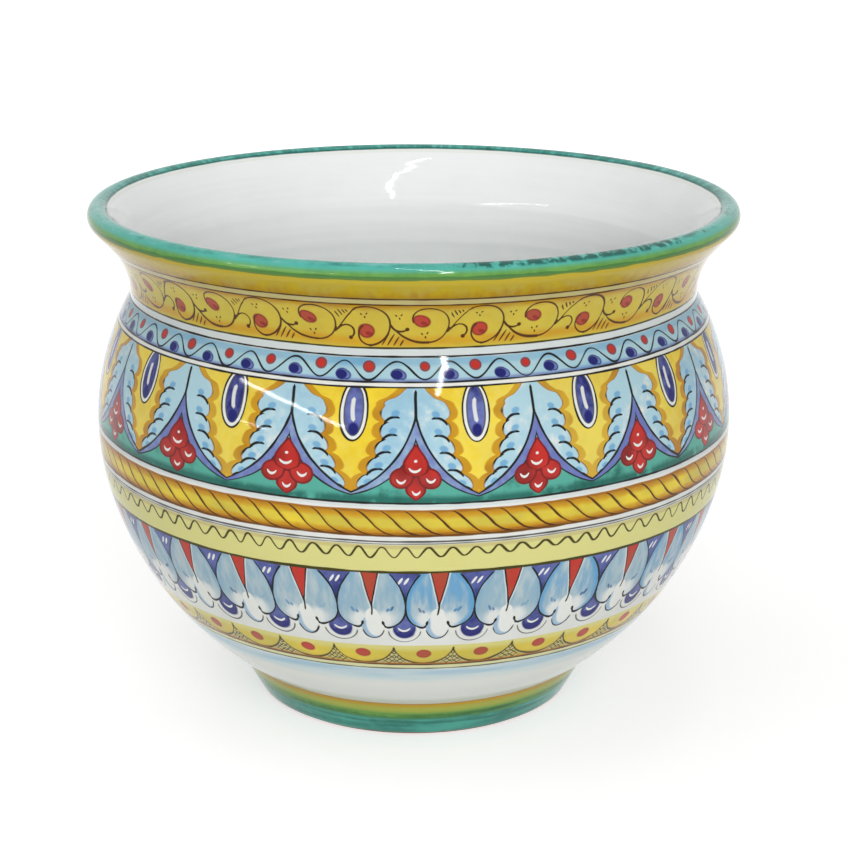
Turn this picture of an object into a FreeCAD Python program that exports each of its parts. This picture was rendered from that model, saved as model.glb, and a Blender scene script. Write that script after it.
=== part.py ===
import FreeCAD, Part
import math
import os
import re
import Sketcher
from FreeCAD import Placement, Rotation, Vector

# Tin-glazed earthenware cachepot, in millimetres. The pot stands on z = 0 and +Z is its axis.
# A potter throws it in sections and lutes them together with slip before it is fired:
# a foot ring, a bowl, a neck collar and a flared lip. Each section is turned from its own outline.
# Every outline is drawn in its section's own frame, whose z = 0 is the seam that it stands on.

SIZES = (
    ("belly_radius", 178.5, "axis to the outside of the belly, at its widest line"),
    ("haunch_height", 137.5, "top of the foot ring up to the widest line"),
    ("shoulder_height", 72.7, "widest line up to the neck seam"),
    ("belly_round", 137.0, "radius of the arc just under the widest line"),
    ("blend_drop", 32.0, "widest line down to the change to the flatter haunch arc"),
    ("wall", 8.5, "thickness of the thrown wall"),
    ("neck_inset", 20.5, "how far the neck draws in from the belly's widest line"),
    ("flare_round", 45.3, "hollow of the neck, from its seam up to the lip seam"),
    ("flare_angle", 42.3, "lean of the flared lip away from the axis, in degrees"),
    ("flare_length", 12.8, "straight outer flank of the lip, under its roll"),
    ("lip_thickness", 12.4, "across the rounded roll of the lip"),
    ("foot_top_radius", 103.5, "outside of the foot ring where the belly starts"),
    ("foot_taper", 13.5, "how far the foot ring draws in down to the table"),
    ("foot_width", 10.0, "standing edge of the foot ring, across"),
    ("foot_bevel", 2.4, "bevel on both corners of the standing edge, where the glaze stops"),
    ("recess_height", 14.0, "table up to the bowl's underside"),
    ("seat_depth", 10.5, "how deep the bowl's base sits in the foot ring"),
    ("seat_width", 11.5, "foot ring's top face, on which the belly wall stands"),
    ("floor_thickness", 10.0, "bowl's floor"),
    ("floor_inset", 29.5, "outside of the foot ring's top in to the flat part of the floor"),
    ("key_width", 3.4, "V ridge under a section, across its root"),
    ("key_height", 2.6, "V ridge under a section, root to edge"),
    ("lip_key_inset", 6.4, "outer edge of the lip seam in to its V ridge"),
    ("slip_gap", 0.2, "room for slip around a base or a ridge in its seat"),
    ("overrun", 2.0, "how far a cutting outline passes the face that it opens"),
)

# Lengths that follow from the sizes. Each one is a formula that the outlines below are bound to.
DERIVED = {
    "foot_height": "recess_height + seat_depth",
    "neck_radius": "belly_radius - neck_inset",
    "neck_height": "haunch_height + shoulder_height",
    "base_radius": "foot_top_radius - seat_width",
    "floor_radius": "foot_top_radius - floor_inset",
    "floor_level": "floor_thickness - seat_depth",
    # The arc under the widest line meets the haunch arc here, both with the same tangent.
    "blend_reach": "sqrt(belly_round * belly_round - blend_drop * blend_drop)",
    "blend_radius": "belly_radius - belly_round + blend_reach",
    "blend_height": "haunch_height - blend_drop",
    "blend_radius_inside": "blend_radius - wall * blend_reach / belly_round",
    "blend_height_inside": "blend_height + wall * blend_drop / belly_round",
    "haunch_step": "blend_radius - foot_top_radius",
    "haunch_round": "belly_round * (haunch_step * haunch_step + blend_height * blend_height)"
                    " / (2 * (haunch_step * blend_reach - blend_height * blend_drop))",
    "inside_step": "blend_radius_inside - floor_radius",
    "inside_rise": "blend_height_inside - floor_level",
    "inside_round": "belly_round * (inside_step * inside_step + inside_rise * inside_rise)"
                    " / (2 * (inside_step * blend_reach - inside_rise * blend_drop))",
    # One arc runs from the widest line up to the crease of the neck. Inside it, the wall keeps its
    # thickness along the arc, and the neck keeps it level with the crease.
    "shoulder_round": "(neck_inset * neck_inset + shoulder_height * shoulder_height) / (2 * neck_inset)",
    "shoulder_centre": "belly_radius - shoulder_round",
    "neck_inside": "shoulder_centre + sqrt((shoulder_round - wall) * (shoulder_round - wall)"
                   " - shoulder_height * shoulder_height)",
    # The lip's roll, and the hollow inside the mouth, which runs into the roll.
    "collar_height": "flare_round * sin(flare_angle)",
    "lip_seam_radius": "neck_radius + flare_round * (1 - cos(flare_angle))",
    "lip_key_radius": "lip_seam_radius - lip_key_inset",
    "neck_key_radius": "(neck_radius + neck_inside) / 2",
    "roll": "lip_thickness / 2",
    "roll_start_radius": "lip_seam_radius + flare_length * sin(flare_angle)",
    "roll_start_height": "flare_length * cos(flare_angle)",
    "roll_radius": "roll_start_radius - roll * cos(flare_angle)",
    "roll_height": "roll_start_height + roll * sin(flare_angle)",
    "mouth_reach": "roll_radius - neck_inside",
    "mouth_rise": "collar_height + roll_height",
    "mouth_round": "(mouth_reach * mouth_reach + mouth_rise * mouth_rise - roll * roll)"
                   " / (2 * (mouth_reach - roll))",
    "mouth_centre": "neck_inside + mouth_round",
    "roll_end_radius": "mouth_centre - (mouth_centre - roll_radius) * mouth_round / (mouth_round - roll)",
}

doc = FreeCAD.newDocument("cachepot")


def make_sheet():
    """Writes the driving sizes into a sheet, one row each: what it is, then the value with its alias."""
    sizes = doc.addObject("Spreadsheet::Sheet", "Sizes")
    for row, (alias, value, note) in enumerate(SIZES, start=1):
        sizes.set("A%d" % row, note)
        sizes.set("B%d" % row, str(value))
        sizes.setAlias("B%d" % row, alias)
    doc.recompute()
    return sizes


def formula(text):
    """Spells a formula out until it holds nothing but cells of the sheet."""
    def spell(match):
        word = match.group(0)
        if word in DERIVED:
            return "(" + formula(DERIVED[word]) + ")"
        if word in CELLS:
            return "Sizes." + word
        return word
    return re.sub(r"[a-z_]+", spell, text)


def length(text):
    """The value that a formula has now."""
    return float(sheet.evalExpression(formula(text)))


def on_plane(body, name, role):
    """An empty sketch on one of a body's own origin planes."""
    sketch = body.newObject("Sketcher::SketchObject", name)
    plane = [feature for feature in body.Origin.OriginFeatures if feature.Role == role][0]
    sketch.AttachmentSupport = [(plane, "")]
    sketch.MapMode = "FlatFace"
    return sketch


def bind(sketch, kind, edge, end, text):
    """Ties one coordinate of a point in a sketch to a formula, or to an axis where it is nought."""
    index = sketch.addConstraint(Sketcher.Constraint(kind, -1, 1, edge, end, length(text)))
    if text != "0":
        sketch.setExpression("Constraints[%d]" % index, formula(text))


START, END, CENTRE = 1, 2, 3


def add_line(sketch, here, step):
    """Adds a line to the point (radius, height) and returns its edge, its ends and where it stops."""
    radius, height = step
    there = Vector(length(radius), length(height), 0)
    edge = sketch.addGeometry(Part.LineSegment(here, there), False)
    bind(sketch, "DistanceX", edge, END, radius)
    bind(sketch, "DistanceY", edge, END, height)
    return edge, START, END, there


def add_arc(sketch, here, step):
    """Adds an arc about (centre radius, centre height) that stops at a given radius or height."""
    centre_radius, centre_height, stop_kind, stop = step
    centre = Vector(length(centre_radius), length(centre_height), 0)
    arm = here - centre
    if stop_kind == "DistanceY":
        rise = length(stop) - centre.y
        run = math.copysign(math.sqrt(arm.Length ** 2 - rise ** 2), arm.x)
    else:
        run = length(stop) - centre.x
        rise = math.copysign(math.sqrt(arm.Length ** 2 - run ** 2), arm.y)
    there = centre + Vector(run, rise, 0)
    first, last = math.atan2(arm.y, arm.x), math.atan2(rise, run)
    onward = arm.x * rise - arm.y * run > 0
    angles = (first, last) if onward else (last, first)
    circle = Part.Circle(centre, Vector(0, 0, 1), arm.Length)
    edge = sketch.addGeometry(Part.ArcOfCircle(circle, *angles), False)
    begin, finish = (START, END) if onward else (END, START)
    bind(sketch, "DistanceX", edge, CENTRE, centre_radius)
    bind(sketch, "DistanceY", edge, CENTRE, centre_height)
    bind(sketch, stop_kind, edge, finish, stop)
    return edge, begin, finish, there


def outline(body, name, start, steps):
    """Draws a closed outline of lines and arcs, each bound to the sheet, and closes it with a line."""
    sketch = on_plane(body, name, "XZ_Plane")
    here = Vector(length(start[0]), length(start[1]), 0)
    first = last = None
    for step in steps:
        add = add_line if len(step) == 2 else add_arc
        edge, begin, finish, here = add(sketch, here, step)
        if last is None:
            bind(sketch, "DistanceX", edge, begin, start[0])
            bind(sketch, "DistanceY", edge, begin, start[1])
            first = (edge, begin)
        else:
            sketch.addConstraint(Sketcher.Constraint("Coincident", last[0], last[1], edge, begin))
        last = (edge, finish)
    opening = Vector(length(start[0]), length(start[1]), 0)
    closing = sketch.addGeometry(Part.LineSegment(here, opening), False)
    sketch.addConstraint(Sketcher.Constraint("Coincident", last[0], last[1], closing, START))
    sketch.addConstraint(Sketcher.Constraint("Coincident", closing, END, first[0], first[1]))
    return sketch


def turn(body, kind, name, sketch):
    """Turns an outline about the pot's axis, to add clay or to cut it away."""
    feature = body.newObject(kind, name)
    feature.Profile = sketch
    feature.ReferenceAxis = (sketch, ["V_Axis"])
    feature.Angle = 360.0
    doc.recompute()
    return feature


def new_section(name, seam):
    """A body that stands on its seam, at the height which a formula gives."""
    body = doc.addObject("PartDesign::Body", name)
    body.Label = name
    body.Placement = Placement(Vector(0, 0, length(seam)), Rotation())
    body.setExpression("Placement.Base.z", formula(seam))
    return body


def circle_edge(feature, radius, height):
    """The name of a turned feature's round edge of a given radius and height."""
    for number, edge in enumerate(feature.Shape.Edges, start=1):
        round_edge = isinstance(edge.Curve, Part.Circle)
        if round_edge and math.isclose(edge.Curve.Radius, length(radius), abs_tol=MATCH):
            if math.isclose(edge.Curve.Center.z, length(height), abs_tol=MATCH):
                return "Edge%d" % number
    raise ValueError("no round edge at " + radius)


def bevel(body, name, base, edges, size):
    """Bevels some edges of a body."""
    chamfer = body.newObject("PartDesign::Chamfer", name)
    chamfer.Base = (base, edges)
    chamfer.setExpression("Size", formula(size))
    doc.recompute()
    return chamfer


def key_ridge(body, name, radius):
    """The V ridge under a section. It sits in the groove of the section below."""
    ridge = outline(body, name + "_outline", (radius + " - key_width / 2", "0"), (
        (radius, "0 - key_height"),
        (radius + " + key_width / 2", "0"),
    ))
    return turn(body, "PartDesign::Revolution", name, ridge)


def key_groove(body, name, radius, seam):
    """The V groove in a section's upper edge, as wide as the ridge and the slip around it."""
    inner = radius + " - key_width / 2 - slip_gap"
    outer = radius + " + key_width / 2 + slip_gap"
    groove = outline(body, name + "_outline", (inner, seam + " + overrun"), (
        (inner, seam),
        (radius, seam + " - key_height - slip_gap"),
        (outer, seam),
        (outer, seam + " + overrun"),
    ))
    return turn(body, "PartDesign::Groove", name, groove)


def make_foot_ring():
    """The foot: a tapering ring with a stepped seat that the bowl's base drops into."""
    body = new_section("foot_ring", "0")
    standing = "foot_top_radius - foot_taper"
    section = outline(body, "foot_section", (standing + " - foot_width", "0"), (
        (standing, "0"),
        ("foot_top_radius", "foot_height"),
        ("base_radius", "foot_height"),
        ("base_radius", "recess_height"),
        (standing + " - foot_width", "recess_height"),
    ))
    ring = turn(body, "PartDesign::Revolution", "foot_turned", section)
    corners = [circle_edge(ring, standing, "0"), circle_edge(ring, standing + " - foot_width", "0")]
    bevel(body, "foot_edges", ring, corners, "foot_bevel")
    return body


def make_bowl():
    """The thrown bowl: floor, haunch, belly and shoulder, up to the neck seam."""
    body = new_section("bowl", "foot_height")
    lean = " * blend_reach / belly_round"
    lift = " * blend_drop / belly_round"
    haunch = ("blend_radius - haunch_round" + lean, "blend_height + haunch_round" + lift)
    inside = ("blend_radius_inside - inside_round" + lean, "blend_height_inside + inside_round" + lift)
    belly = ("belly_radius - belly_round", "haunch_height")
    shoulder = ("shoulder_centre", "haunch_height")
    height = ("DistanceY",)
    section = outline(body, "bowl_section", ("0", "0 - seat_depth"), (
        ("base_radius - slip_gap", "0 - seat_depth"),
        ("base_radius - slip_gap", "0"),
        ("foot_top_radius", "0"),
        haunch + height + ("blend_height",),
        belly + height + ("haunch_height",),
        shoulder + height + ("neck_height",),
        ("neck_inside", "neck_height"),
        shoulder + height + ("haunch_height",),
        belly + height + ("blend_height_inside",),
        inside + height + ("floor_level",),
        ("0", "floor_level"),
    ))
    turn(body, "PartDesign::Revolution", "bowl_thrown", section)
    key_groove(body, "neck_groove", "neck_key_radius", "neck_height")
    return body


def make_neck_collar():
    """The collar: the hollow neck, from its seam on the bowl up to the lip seam."""
    body = new_section("neck_collar", "foot_height + neck_height")
    inside_top = "mouth_centre - sqrt(mouth_round * mouth_round - collar_height * collar_height)"
    section = outline(body, "collar_section", ("neck_radius", "0"), (
        ("neck_radius + flare_round", "0", "DistanceY", "collar_height"),
        (inside_top, "collar_height"),
        ("mouth_centre", "0", "DistanceY", "0"),
    ))
    turn(body, "PartDesign::Revolution", "collar_thrown", section)
    key_ridge(body, "neck_ridge", "neck_key_radius")
    key_groove(body, "lip_groove", "lip_key_radius", "collar_height")
    return body


def make_flared_lip():
    """The lip: the flaring edge of the mouth, thickened into a round roll."""
    body = new_section("flared_lip", "foot_height + neck_height + collar_height")
    roll = ("roll_radius", "roll_height")
    section = outline(body, "lip_section", ("lip_seam_radius", "0"), (
        ("roll_start_radius", "roll_start_height"),
        roll + ("DistanceY", "roll_height"),
        roll + ("DistanceX", "roll_radius"),
        roll + ("DistanceX", "roll_end_radius"),
        ("mouth_centre", "0 - collar_height", "DistanceY", "0"),
    ))
    turn(body, "PartDesign::Revolution", "lip_thrown", section)
    key_ridge(body, "lip_ridge", "lip_key_radius")
    return body


MATCH = 0.001
CELLS = [alias for alias, value, note in SIZES]
sheet = make_sheet()
sections = [make_foot_ring(), make_bowl(), make_neck_collar(), make_flared_lip()]
doc.recompute()

for thing in doc.Objects:
    if {"Invalid", "Error"} & set(thing.State):
        raise RuntimeError(thing.Label + " did not build")
for piece in sections:
    if piece.Shape.isNull() or not piece.Shape.isValid() or len(piece.Shape.Solids) != 1:
        raise RuntimeError(piece.Label + " is not one sound solid")

os.makedirs("parts", exist_ok=True)
for piece in sections:
    piece.Shape.exportStep("parts/" + piece.Label + ".step")
    print(piece.Label, "volume %.1f cm3" % (piece.Shape.Volume / 1000))
print("across the lip %.1f mm" % (2 * length("roll_radius + roll")))
print("height %.1f mm" % length("foot_height + neck_height + collar_height + roll_height + roll"))
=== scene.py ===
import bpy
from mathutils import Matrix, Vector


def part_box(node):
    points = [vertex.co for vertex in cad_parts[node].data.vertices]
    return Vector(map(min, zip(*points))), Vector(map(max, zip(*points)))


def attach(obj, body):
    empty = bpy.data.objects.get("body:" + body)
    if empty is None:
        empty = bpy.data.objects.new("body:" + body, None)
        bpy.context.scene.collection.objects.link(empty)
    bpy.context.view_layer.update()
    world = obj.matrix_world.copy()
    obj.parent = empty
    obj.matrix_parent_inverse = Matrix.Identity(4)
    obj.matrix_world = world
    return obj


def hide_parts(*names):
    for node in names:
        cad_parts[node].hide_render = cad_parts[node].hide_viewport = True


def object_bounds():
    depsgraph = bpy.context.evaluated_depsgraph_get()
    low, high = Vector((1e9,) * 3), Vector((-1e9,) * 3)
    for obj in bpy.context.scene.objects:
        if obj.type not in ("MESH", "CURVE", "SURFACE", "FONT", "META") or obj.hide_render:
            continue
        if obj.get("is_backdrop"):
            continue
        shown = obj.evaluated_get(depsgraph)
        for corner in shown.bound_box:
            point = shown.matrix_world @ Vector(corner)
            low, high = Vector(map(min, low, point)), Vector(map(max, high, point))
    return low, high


bl_info = {
    "name": "Painted Cachepot",
    "version": (1, 0, 0),
    "blender": (4, 5, 0),
    "location": "3D View > Sidebar > Cachepot",
    "description": "A thrown, tin-glazed cachepot with hand-painted borders, built around its packed frame",
    "category": "Object",
}

import math

import bpy
import numpy as np
from mathutils import Matrix, Vector

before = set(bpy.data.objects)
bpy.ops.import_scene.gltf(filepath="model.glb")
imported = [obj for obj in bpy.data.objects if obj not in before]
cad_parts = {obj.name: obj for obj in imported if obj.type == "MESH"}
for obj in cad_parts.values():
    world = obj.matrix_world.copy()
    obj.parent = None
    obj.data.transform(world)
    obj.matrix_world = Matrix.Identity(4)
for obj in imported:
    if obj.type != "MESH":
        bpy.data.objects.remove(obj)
cad_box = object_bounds()

MM = 0.001
PAINT_MAP = "paint"
BAKE_MAP = "OFBake"

# Corners and axes of a packed section's box.
LOWEST, HIGHEST = 0, 1
OUT, UP = 0, 2

# The mesh: rows up the outline, fine rows, columns round the pot, and the crease that stays sharp.
ROW = 2.4 * MM
FINE = 1.0 * MM
COLUMNS = 288
CREASE = math.radians(32)
ARC_STEP = 0.4 * MM
RIDGE_STEPS = 25
TOUCHING = 0.01 * MM
BAKE_MARGIN = 0.003

# The glaze: roughness, strength of the shine, and the waves of the fired surface.
GLOSS, INNER_GLOSS, BARE = 0.06, 0.05, 0.85
SHINE = 0.2
WAVES = {"Strength": 0.35, "Distance": 1.2 * MM}

# A mark's edge runs out over this much glaze, in millimetres.
SOFT = 0.20

# Sockets of a Mix node that mixes colours.
MIX_FIRST, MIX_SECOND, MIX_RESULT = 6, 7, 2

# Where each band of the bowl's painting ends, along the outline. The lip's paint ends inside the roll.
ARCH_END, LEAF_END, ROPE_END, FRIEZE_END = 106.0 * MM, 158.6 * MM, 191.7 * MM, 252.3 * MM
LIP_END = 335.4 * MM

# Fired colours of the painting, as they look, 0 to 255. The inks draw lines, and the deep ones pool.
PALETTE = {
    # The inside's white is the same tin glaze painted lighter than the outer white: painted light for the
    # shaded inside.
    "white": (233, 235, 230), "inner_white": (241, 243, 242), "cream": (200, 188, 128), "ink": (22, 22, 20),
    "brown_ink": (82, 46, 2), "olive_ink": (66, 60, 8), "lemon": (222, 218, 140), "yellow": (246, 217, 54),
    "straw": (208, 190, 70), "ochre": (204, 150, 24), "umber": (168, 108, 22), "red": (198, 46, 38),
    "brick": (176, 74, 50), "dark_red": (122, 22, 22), "pale_blue": (176, 212, 224),
    "mist": (160, 186, 196), "blue": (92, 160, 206), "violet": (108, 120, 184), "navy": (26, 30, 112),
    "teal": (84, 172, 154), "deep_teal": (14, 92, 82), "turquoise": (82, 180, 165),
    "deep_green": (18, 84, 76), "leaf_green": (112, 168, 78), "leaf_ink": (60, 116, 58),
    "lip_ochre": (192, 169, 44), "clay": (186, 122, 88),
}

# The stage: linear greys, strengths, and the distances over which the floor's glow turns to white.
FLOOR_SIZE = 12.0
FLOOR_LIT, FLOOR_SEEN, WHITE = (0.92,) * 3, (0.55,) * 3, (1.0,) * 3
GLOW = (0.3, 1.2, 0.62, 0.95)
WORLD_LIT, WORLD_SEEN = 0.19, 1.0

# Flat lamps: start, end, width, power, and whether a lamp only shows in the gloss. All face LAMP_AIM.
LAMP_AIM = Vector((0.0, 0.0, 0.15))
LAMPS = {
    "front_light": ((-0.6, -3.1, 1.5), (1.4, -2.95, 1.5), 1.6, 60.0, False),
    "top_light": ((-1.7, -0.2, 3.0), (0.7, -0.2, 3.0), 2.4, 40.0, False),
    "back_light": ((1.5, 3.0, 1.6), (-0.9, 3.1, 1.6), 1.6, 12.0, False),
    "long_strip": ((-1.81, -0.76, 1.02), (-0.83, -1.92, 0.74), 0.03, 8.0, True),
    "short_strip": ((-1.88, -0.98, 0.53), (-1.64, -1.36, 0.51), 0.02, 0.7, True),
    "window": ((0.36, -1.47, 1.70), (0.29, -1.86, 1.24), 0.045, 5.5, True),
    "high_strip": ((-0.15, -0.42, 2.26), (0.40, -1.65, 1.58), 0.022, 13.0, True),
}

# The camera looks down at a point of the pot's axis.
CAMERA_PITCH, CAMERA_DISTANCE, CAMERA_AIM = math.radians(16.772), 1.236, 0.152
CAMERA = {"sensor_width": 36.0, "lens": 91.4, "shift_x": 0.01325, "clip_end": 60.0}


def packed(node, corner, axis):
    """One coordinate of a packed section's box, in metres."""
    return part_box(node)[corner][axis]


def kiln(*channels):
    """A colour as it looks, turned into the linear light that a shader takes."""
    shares = [channel / 255 for channel in channels]
    return tuple(c / 12.92 if c <= 0.04045 else ((c + 0.055) / 1.055) ** 2.4 for c in shares)


def fields(kind, table, **settings):
    """The fields of a property group, from a table of name: (note, default)."""
    return {name: kind(name=name.replace("_", " ").title(), description=note, default=default, **settings)
            for name, (note, default) in table.items()}


class CachepotSizes(bpy.types.PropertyGroup):
    """Sizes of the thrown sections. Those that the frame holds are read from it."""
    __annotations__ = fields(bpy.props.FloatProperty, {
        "foot_top": ("Height of the foot ring", packed("foot_ring", HIGHEST, UP)),
        "foot_radius": ("Outside of the foot ring's top", packed("foot_ring", HIGHEST, OUT)),
        "underside": ("Height of the bowl's underside", packed("bowl", LOWEST, UP)),
        "belly_radius": ("Outside of the belly at its widest", packed("bowl", HIGHEST, OUT)),
        "neck_top": ("Height of the seam between bowl and collar", packed("bowl", HIGHEST, UP)),
        "collar_top": ("Height of the seam between collar and lip", packed("neck_collar", HIGHEST, UP)),
        "collar_radius": ("Outside of the lip seam", packed("neck_collar", HIGHEST, OUT)),
        "lip_radius": ("Outside of the lip's roll", packed("flared_lip", HIGHEST, OUT)),
        "height": ("Table to the crest of the lip", packed("flared_lip", HIGHEST, UP)),
        "foot_taper": ("How far the foot ring draws in to the table", 13.5 * MM),
        "foot_width": ("Standing edge, across", 10.0 * MM),
        "foot_bevel": ("Bevel on the standing edge", 2.4 * MM),
        "seat_width": ("Top face of the foot ring", 11.5 * MM),
        "belly_height": ("Height of the widest line", 162.0 * MM),
        "belly_round": ("Radius of the arc under the widest line", 137.0 * MM),
        "blend_drop": ("Widest line down to the haunch arc", 32.0 * MM),
        "neck_inset": ("Belly in to the neck", 20.5 * MM),
        "wall": ("Thickness of the wall", 8.5 * MM),
        "lip_thickness": ("Across the roll of the lip", 12.4 * MM),
        "floor_level": ("Height of the floor inside", 24.0 * MM),
        "floor_radius": ("Flat part of the floor", 74.0 * MM),
        "neck_round": ("Reach of the rounding inside the neck", 16.0 * MM),
        "ring_pitch": ("From one throwing ring to the next, inside", 11.0 * MM),
        "ring_depth": ("Depth of the throwing rings inside", 0.22 * MM),
    }, unit="LENGTH", precision=4)


class CachepotColours(bpy.types.PropertyGroup):
    """Fired colours of the painting."""
    __annotations__ = fields(bpy.props.FloatVectorProperty,
                             {name: ("Fired colour", kiln(*shade)) for name, shade in PALETTE.items()},
                             subtype="COLOR", size=3, min=0.0, max=1.0)


SIZES = None
COLOURS = None


def feed(socket, value):
    """Gives a socket a wire, a colour or a plain number."""
    if isinstance(value, Number):
        value.tree.links.new(value.socket, socket)
    elif isinstance(value, bpy.types.NodeSocket):
        value.id_data.links.new(value, socket)
    elif socket.type == "RGBA":
        socket.default_value = (*value, 1.0)
    else:
        socket.default_value = value


def add_node(tree, kind, inputs=(), **settings):
    """Adds a shader node with its settings, and feeds its inputs, which are named or numbered."""
    node = tree.nodes.new("ShaderNode" + kind)
    for name, value in settings.items():
        setattr(node, name, value)
    for name, value in dict(inputs).items():
        feed(node.inputs[name], value)
    return node


def parts(tree, kind, socket):
    """The three numbers in a vector or a colour."""
    return [Number(tree, output) for output in add_node(tree, kind, {0: socket}).outputs]


def math_method(operation):
    """A method that adds a Math node."""
    return lambda self, *others: self.math(operation, *others)


class Number:
    """A number that changes over the glaze. Arithmetic with it adds Math nodes."""

    def __init__(self, tree, socket):
        self.tree = tree
        self.socket = socket

    def math(self, operation, *others):
        node = add_node(self.tree, "Math", enumerate((self,) + others), operation=operation)
        return Number(self.tree, node.outputs[0])

    __add__, __sub__, __mul__, __truediv__ = map(math_method, ("ADD", "SUBTRACT", "MULTIPLY", "DIVIDE"))
    __abs__, scaled, least, most = map(math_method, ("ABSOLUTE", "MULTIPLY_ADD", "MINIMUM", "MAXIMUM"))

    def __rsub__(self, other):
        return self.scaled(-1.0, other)

    def __neg__(self):
        return self * -1.0

    def spread(self, reach):
        """Turns 0 to 1 into a sway of this reach to both sides of nought."""
        return self.scaled(2 * reach, -reach)

    def ramp(self, low, high, first=0.0, last=1.0, smooth=True):
        """Runs from first to last while the number goes from low to high."""
        node = add_node(self.tree, "MapRange", enumerate((self, low, high, first, last)),
                        interpolation_type="SMOOTHSTEP" if smooth else "LINEAR")
        return Number(self.tree, node.outputs[0])

    def fade(self, low, high, first=1.0):
        """Dies out from first while the number goes from low to high."""
        return self.ramp(low, high, first, 0.0)

    def cover(self, soft=SOFT):
        """Paint where the number is above nought."""
        return self.ramp(-soft, soft)

    def line(self, width, soft):
        """Paint within half a width of where the number is nought."""
        return abs(self).fade(width / 2 - soft, width / 2 + soft)

    def graph(self, points):
        """A smooth curve through a few (number, value) points."""
        numbers, values = zip(*points)
        low, least = numbers[0], min(values)
        run, rise = numbers[-1] - low, max(values) - least
        node = add_node(self.tree, "FloatCurve", {"Value": self.ramp(low, numbers[-1], smooth=False)})
        curve = node.mapping.curves[0]
        shares = [((number - low) / run, (value - least) / rise) for number, value in points]
        for share in shares[1:-1]:
            curve.points.new(*share)
        for point, share in zip(curve.points, shares):
            point.location = share
            point.handle_type = "AUTO"
        node.mapping.update()
        return Number(self.tree, node.outputs[0]).scaled(rise, least)


class Place:
    """Where a point of the glaze lies in a drawing, in millimetres across and up."""

    def __init__(self, across, up):
        self.tree = across.tree
        self.across = across
        self.up = up
        self.spot = add_node(self.tree, "CombineXYZ", {"X": across, "Y": up}).outputs["Vector"]

    def local(self, centre, half_sizes, lean):
        """The spot seen from a mark: from its centre, along its lean, in its own half sizes."""
        inputs = {"Vector": self.spot, "Location": (*centre, 0.0), "Rotation": (0.0, 0.0, lean),
                  "Scale": (*half_sizes, 1.0)}
        return add_node(self.tree, "Mapping", inputs, vector_type="TEXTURE").outputs["Vector"]

    def vector(self, operation, *inputs, output="Value"):
        node = add_node(self.tree, "VectorMath", enumerate(inputs), operation=operation)
        return Number(self.tree, node.outputs[output])

    def oval(self, centre, half_sizes, lean=0.0):
        """How far inside an oval's edge, in millimetres."""
        spot = self.local(centre, half_sizes, math.radians(lean))
        size = self.vector("LENGTH", spot)
        steepness = self.vector("LENGTH", self.vector("DIVIDE", spot, (*half_sizes, 1.0), output="Vector"))
        return (size - size * size) / steepness

    def ring(self, centre, radius):
        """How far inside a circle."""
        return radius - self.vector("DISTANCE", self.spot, (*centre, 0.0))

    def bowed(self, start, end, bow):
        """How far to the left of a bowed line, and the share 0, 1, 0 of its swell along it."""
        lean = math.atan2(end[1] - start[1], end[0] - start[0])
        local = self.local(start, (math.dist(start, end), 1.0), lean)
        share, aside = parts(self.tree, "SeparateXYZ", local)[:2]
        swell = share * share.scaled(-4.0, 4.0)
        return aside - swell * bow, swell

    def stroke(self, start, end, bow, width, soft=SOFT):
        """Paint of one brush stroke, full in the middle and fine at its ends."""
        aside, swell = self.bowed(start, end, bow)
        half = (swell * 3.0).least(1.0) * (width / 2)
        return (half - abs(aside)).cover(soft)

    def dab(self, centre, half_length, half_width, lean):
        """Paint of one straight touch of the brush."""
        return self.oval(centre, (half_length, half_width), lean).cover()


def across_slope(rise, slope):
    """How far a point lies from a sloping line, square to it, from how far it lies above it."""
    return rise / (slope * slope + 1.0).math("SQRT")


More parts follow.
